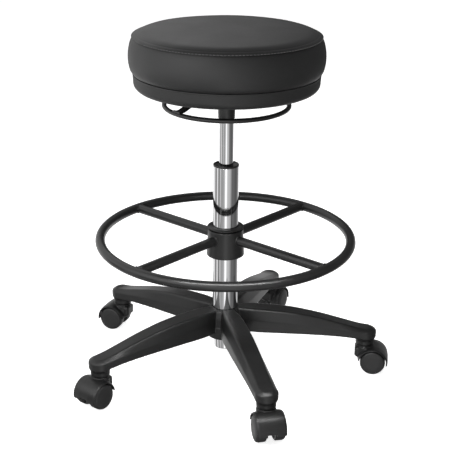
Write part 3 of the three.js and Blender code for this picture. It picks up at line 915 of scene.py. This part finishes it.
def hood_mesh(trail, axle_z, top):
    """The caster's hood in its own frame: stem on Z, wheels trailing along +X, axle along Y."""
    lying = Matrix.Translation((trail, 0, axle_z)) @ Matrix.Rotation(math.pi / 2, 4, "X")
    wide = HOOD_HALF_W
    barrel = [(0, -wide, 0), (28.3, -wide, 1.2), (30.1, -24.5, 8), (HOOD_R, -12, 30), (HOOD_R, 12, 30),
              (30.1, 24.5, 8), (28.3, wide, 1.2), (0, wide, 0)]
    drum = moved(turned_solid(barrel, 128, 6), lying)
    hood = link("hood", mesh_from("hood", *drum), LOOKS["nylon"], Vector())
    angles = [math.radians(a) for a in np.linspace(HOOD_FROM_DEG, HOOD_TO_DEG, 40)]
    fan = [Vector((0, 0))] + [Vector((60 * math.cos(a), 60 * math.sin(a))) for a in angles]
    carve(hood, moved(prism(fan, -40, 40), lying), "INTERSECT")
    neck = [(0, 28, 0), (15, 28, 3), (NECK_R, 33, 5), (NECK_R, top - 4.4, 0.8),
            (NECK_R - 1.8, top - 3.6, 0.4), (NECK_R - 1.8, top - 2.4, 0.4),
            (NECK_R - 0.8, top - 2.0, 0.4), (NECK_R - 0.8, top, 0.5), (0, top, 0)]
    carve(hood, turned_solid(neck, 96), "UNION")
    cheek = rounded([(-19.3, 34, 5), (-6, 26, 3), (12, 44, 6), (4, top - 5, 6), (-19.3, top - 6, 3)], 5)
    cheeks = moved(prism(cheek, -15.5, 15.5, 6.0, 5), Matrix.Rotation(math.pi / 2, 4, "X"))
    carve(hood, cheeks, "UNION")
    space = revolve([(0, WEB_HALF_W), (HOOD_INNER_R, WEB_HALF_W), (HOOD_INNER_R, 26),
                     (HOOD_INNER_R - 0.6, 45), (0, 45)], 96)
    for flip in (0, math.pi):
        carve(hood, moved(space, lying @ Matrix.Rotation(flip, 4, "X")))
    carve(hood, box_solid(trail + 8, trail + 40, -WEB_HALF_W - 1, WEB_HALF_W + 1, 0, axle_z + 0.5))
    carve(hood, moved(rod_solid(WEB_R, -WEB_HALF_W, WEB_HALF_W, 64), lying), "UNION")
    moulded(hood, 0.6, 3)
    mesh = hood.data
    bpy.data.objects.remove(hood)
    return mesh


def wheel_mesh():
    """A wheel's tread, rounded shoulders and domed outer disc, outer face towards +Y."""
    r, inner, outer = WHEEL_R, WHEEL_INNER, WHEEL_OUTER
    corners = [(0, 24.4, 0), (3.8, 24.4, 0), (3.8, inner, 0.3), (9, inner, 0.5), (9, inner + 2, 0.5),
               (20.5, inner + 2, 0.5), (20.5, inner, 0.5), (r - 0.3, inner, 2.2), (r, inner + 6, 4),
               (r, outer - 7, 4), (r - 1.6, outer - 2.4, 3), (r - 4.5, outer - 1.2, 3), (14, outer - 0.1, 12),
               (0, outer, 0)]
    lying = moved(turned_solid(corners, 96), Matrix.Rotation(-math.pi / 2, 4, "X"))
    return mesh_from("wheel", *lying, 45)


def casters():
    swivel = JOINTS[CASTERS[0] + "_swivel"]
    roll = JOINTS[CASTERS[0] + "_roll_right"]
    offset = (Vector(roll["pos_m"]) - Vector(swivel["pos_m"])) * FLAT
    trail, axle_z = offset.length / MM, roll["pos_m"][2] / MM
    top = high(CASTERS[0] + "_hood")
    hood, wheel = hood_mesh(trail, axle_z, top), wheel_mesh()
    hood.materials.clear()
    hood.materials.append(LOOKS["nylon"])
    wheel.materials.append(LOOKS["tread"])
    for name in CASTERS:
        stem = Vector(JOINTS[name + "_swivel"]["pos_m"]) * FLAT
        axle = Vector(JOINTS[name + "_roll_right"]["pos_m"])
        heading = math.atan2(axle.y - stem.y, axle.x - stem.x)
        piece = link(name + "_hood_moulded", hood, None, stem)
        piece.rotation_euler = (0, 0, heading)
        finish_piece(piece, name, "nylon", name + "_hood")
        for side, flip in (("left", 0), ("right", math.pi)):
            piece = link(f"{name}_wheel_{side}_disc", wheel, None, axle)
            piece.rotation_euler = (0, 0, heading + flip)
            finish_piece(piece, f"{name}_wheel_{side}", "tread", f"{name}_wheel_{side}")


# ---------------------------------------------------------------- carried-over CAD nodes


def dress_cad_nodes():
    """The pieces that keep their CAD shape get the material of their record slot."""
    slots = {part["node"]: part["material_slot"] for part in frame["record"]["subparts"]}
    for name, node in frame["nodes"].items():
        if node.hide_render:
            continue
        node.data.materials.clear()
        node.data.materials.append(LOOKS[slots[name]])


# ---------------------------------------------------------------- stage, light, camera


# What the polished and satin parts reflect: azimuth in degrees from the front, and brightness. Each band of
# the tent runs between two heights, as the strip lights and flags of a product studio do.
TENT_R = 1.05
TENT_HEIGHTS = (-0.9, 0.26, 0.85, 1.7)
FLOOR_SIDE, BACKDROP_R = 30, 29
FLOOR_GLOW, BACKDROP_GLOW, WORLD_GLOW = 0.84, 0.97, 0.15
TENT_LOW = [
    (-180, 1.0), (-118, 1.0), (-104, 0.28), (-90, 0.24), (-82, 0.95), (-74, 0.85), (-68, 0.18),
    (-57, 0.26), (-50, 0.8), (-44, 0.4), (-30, 0.36), (-12, 0.5), (-4, 1.3), (6, 1.3), (14, 0.62),
    (34, 0.55), (46, 0.32), (54, 0.15), (70, 0.15), (98, 0.1), (120, 0.2), (136, 0.5), (142, 1.0),
    (180, 1.0),
]
TENT_MID = [
    (-180, 0.05), (-165, 0.08), (-150, 0.5), (-110, 0.9), (-70, 1.3), (-45, 1.5), (-5, 1.5), (15, 0.6),
    (40, 0.3), (90, 0.15), (180, 0.05),
]
TENT_HIGH = [
    (-180, 0.6), (-165, 0.95), (-120, 0.9), (-60, 0.8), (0, 0.5), (60, 0.12), (120, 0.12), (165, 0.25),
    (180, 0.6),
]


def stage():
    n = Nodes("floor")
    n.set(Base_Color=n.mix(n.noise(1.5, 3), grey(0.86), grey(0.88)), Roughness=0.9, Specular_IOR_Level=0.0,
          Emission_Color=grey(1), Emission_Strength=FLOOR_GLOW)
    mesh = bpy.data.meshes.new("floor")
    corners = [(x * FLOOR_SIDE, y * FLOOR_SIDE, 0) for x, y in ((-1, -1), (1, -1), (1, 1), (-1, 1))]
    mesh.from_pydata(corners, [], [[0, 1, 2, 3]])
    floor = link("floor", mesh, n.material, Vector((0, 0, -0.0006)))
    floor.visible_glossy = False
    heights = zip(TENT_HEIGHTS, TENT_HEIGHTS[1:])
    for (name, ramp), (z0, z1) in zip((("low", TENT_LOW), ("mid", TENT_MID), ("high", TENT_HIGH)), heights):
        tent("tent_" + name, ramp, z0, z1)

    n = Nodes("backdrop")
    n.set(Base_Color=grey(0), Roughness=1.0, Specular_IOR_Level=0.0, Emission_Color=grey(1),
          Emission_Strength=BACKDROP_GLOW)
    backdrop = link("backdrop", drum_wall("backdrop", BACKDROP_R, -0.5, BACKDROP_R, 90), n.material, Vector())
    backdrop.visible_diffuse = backdrop.visible_glossy = backdrop.visible_transmission = False
    backdrop.visible_shadow = False

    world = bpy.data.worlds.new("studio")
    bpy.context.scene.world = world
    world.use_nodes = True
    world.node_tree.nodes["Background"].inputs["Color"].default_value = (1, 1, 1, 1)
    world.node_tree.nodes["Background"].inputs["Strength"].default_value = WORLD_GLOW
    view = bpy.context.scene.view_settings
    view.view_transform = "Standard"
    view.look = "None"


def drum_wall(name, r, z0, z1, sides):
    """The mesh of a plain wall right round the stool, in metres."""
    points = [(r * math.sin(TAU * k / sides), -r * math.cos(TAU * k / sides), z)
              for z in (z0, z1) for k in range(sides)]
    faces = [[k, (k + 1) % sides, sides + (k + 1) % sides, sides + k] for k in range(sides)]
    mesh = bpy.data.meshes.new(name)
    mesh.from_pydata(points, [], faces)
    return mesh


def tent(name, ramp, z0, z1):
    """A band of strip lights and flags round the stool that only reflections see."""
    n = Nodes(name)
    split = n.add("ShaderNodeSeparateXYZ", {"Vector": n.where})
    back = n.add("ShaderNodeMath", {0: split.outputs["Y"], 1: -1.0}, operation="MULTIPLY").outputs[0]
    turn = n.add("ShaderNodeMath", {0: split.outputs["X"], 1: back}, operation="ARCTAN2").outputs[0]
    along = n.span(turn, -math.pi, math.pi, 0.0, 1.0)
    bands = n.add("ShaderNodeValToRGB", {"Fac": along})
    stops = bands.color_ramp.elements
    while len(stops) < len(ramp):
        stops.new(0.5)
    for stop, (azimuth, value) in zip(stops, ramp):
        stop.position = (azimuth + 180) / 360
        stop.color = (value, value, value, 1)
    glow = n.add("ShaderNodeEmission", {"Color": bands.outputs["Color"], "Strength": 1.0})
    n.tree.links.new(glow.outputs[0], n.tree.nodes["Material Output"].inputs["Surface"])
    band = link(name, drum_wall(name, TENT_R, z0, z1, 180), n.material)
    band.visible_camera = False
    band.visible_diffuse = False
    band.visible_transmission = False
    band.visible_shadow = False


def area_light(name, place, aim, size, power):
    data = bpy.data.lights.new(name, "AREA")
    data.shape = "RECTANGLE"
    data.size, data.size_y = size
    data.energy = power
    lamp = bpy.data.objects.new(name, data)
    bpy.context.scene.collection.objects.link(lamp)
    lamp.location = place
    lamp.rotation_euler = (Vector(aim) - Vector(place)).to_track_quat("-Z", "Y").to_euler()
    return lamp


def lights():
    area_light("key", (-1.9, -1.7, 2.3), (0, 0, 0.4), (1.4, 1.4), 45)
    area_light("top", (0.1, 0.3, 3.0), (0, 0, 0.3), (2.6, 2.6), 50).visible_glossy = False
    area_light("fill", (2.2, -1.2, 1.3), (0, 0, 0.4), (1.0, 1.8), 8)
    area_light("strip", (0, -0.36, 0.52), (0, -0.36, 0.3), (0.5, 0.04), 2.0).visible_camera = False


EYE = Vector((-0.00119, -2.1085, 1.1007))  # from the foot of the column
EYE_PITCH_DEG, EYE_ROLL_DEG = 20.64, 0.5
EYE_LENS, EYE_SENSOR = 91.75, 36


def camera():
    data = bpy.data.cameras.new("camera")
    data.sensor_width = EYE_SENSOR
    data.sensor_fit = "HORIZONTAL"
    data.lens = EYE_LENS
    data.dof.use_dof = False
    data.clip_end = 60
    eye = bpy.data.objects.new("camera", data)
    bpy.context.scene.collection.objects.link(eye)
    eye.location = AXIS + EYE
    pitch = Matrix.Rotation(math.radians(90 - EYE_PITCH_DEG), 4, "X")
    roll = Matrix.Rotation(math.radians(EYE_ROLL_DEG), 4, "Z")
    eye.rotation_euler = (pitch @ roll).to_euler()
    bpy.context.scene.camera = eye


# ---------------------------------------------------------------- build

camera()
stage()
lights()
seat_cover()
seam_stitches()
seat_foam()
seat_pan()
seat_plate()
seat_bolts()
seat_socket()
release()
gas_lift()
foot_ring()
star_base()
casters()
dress_cad_nodes()
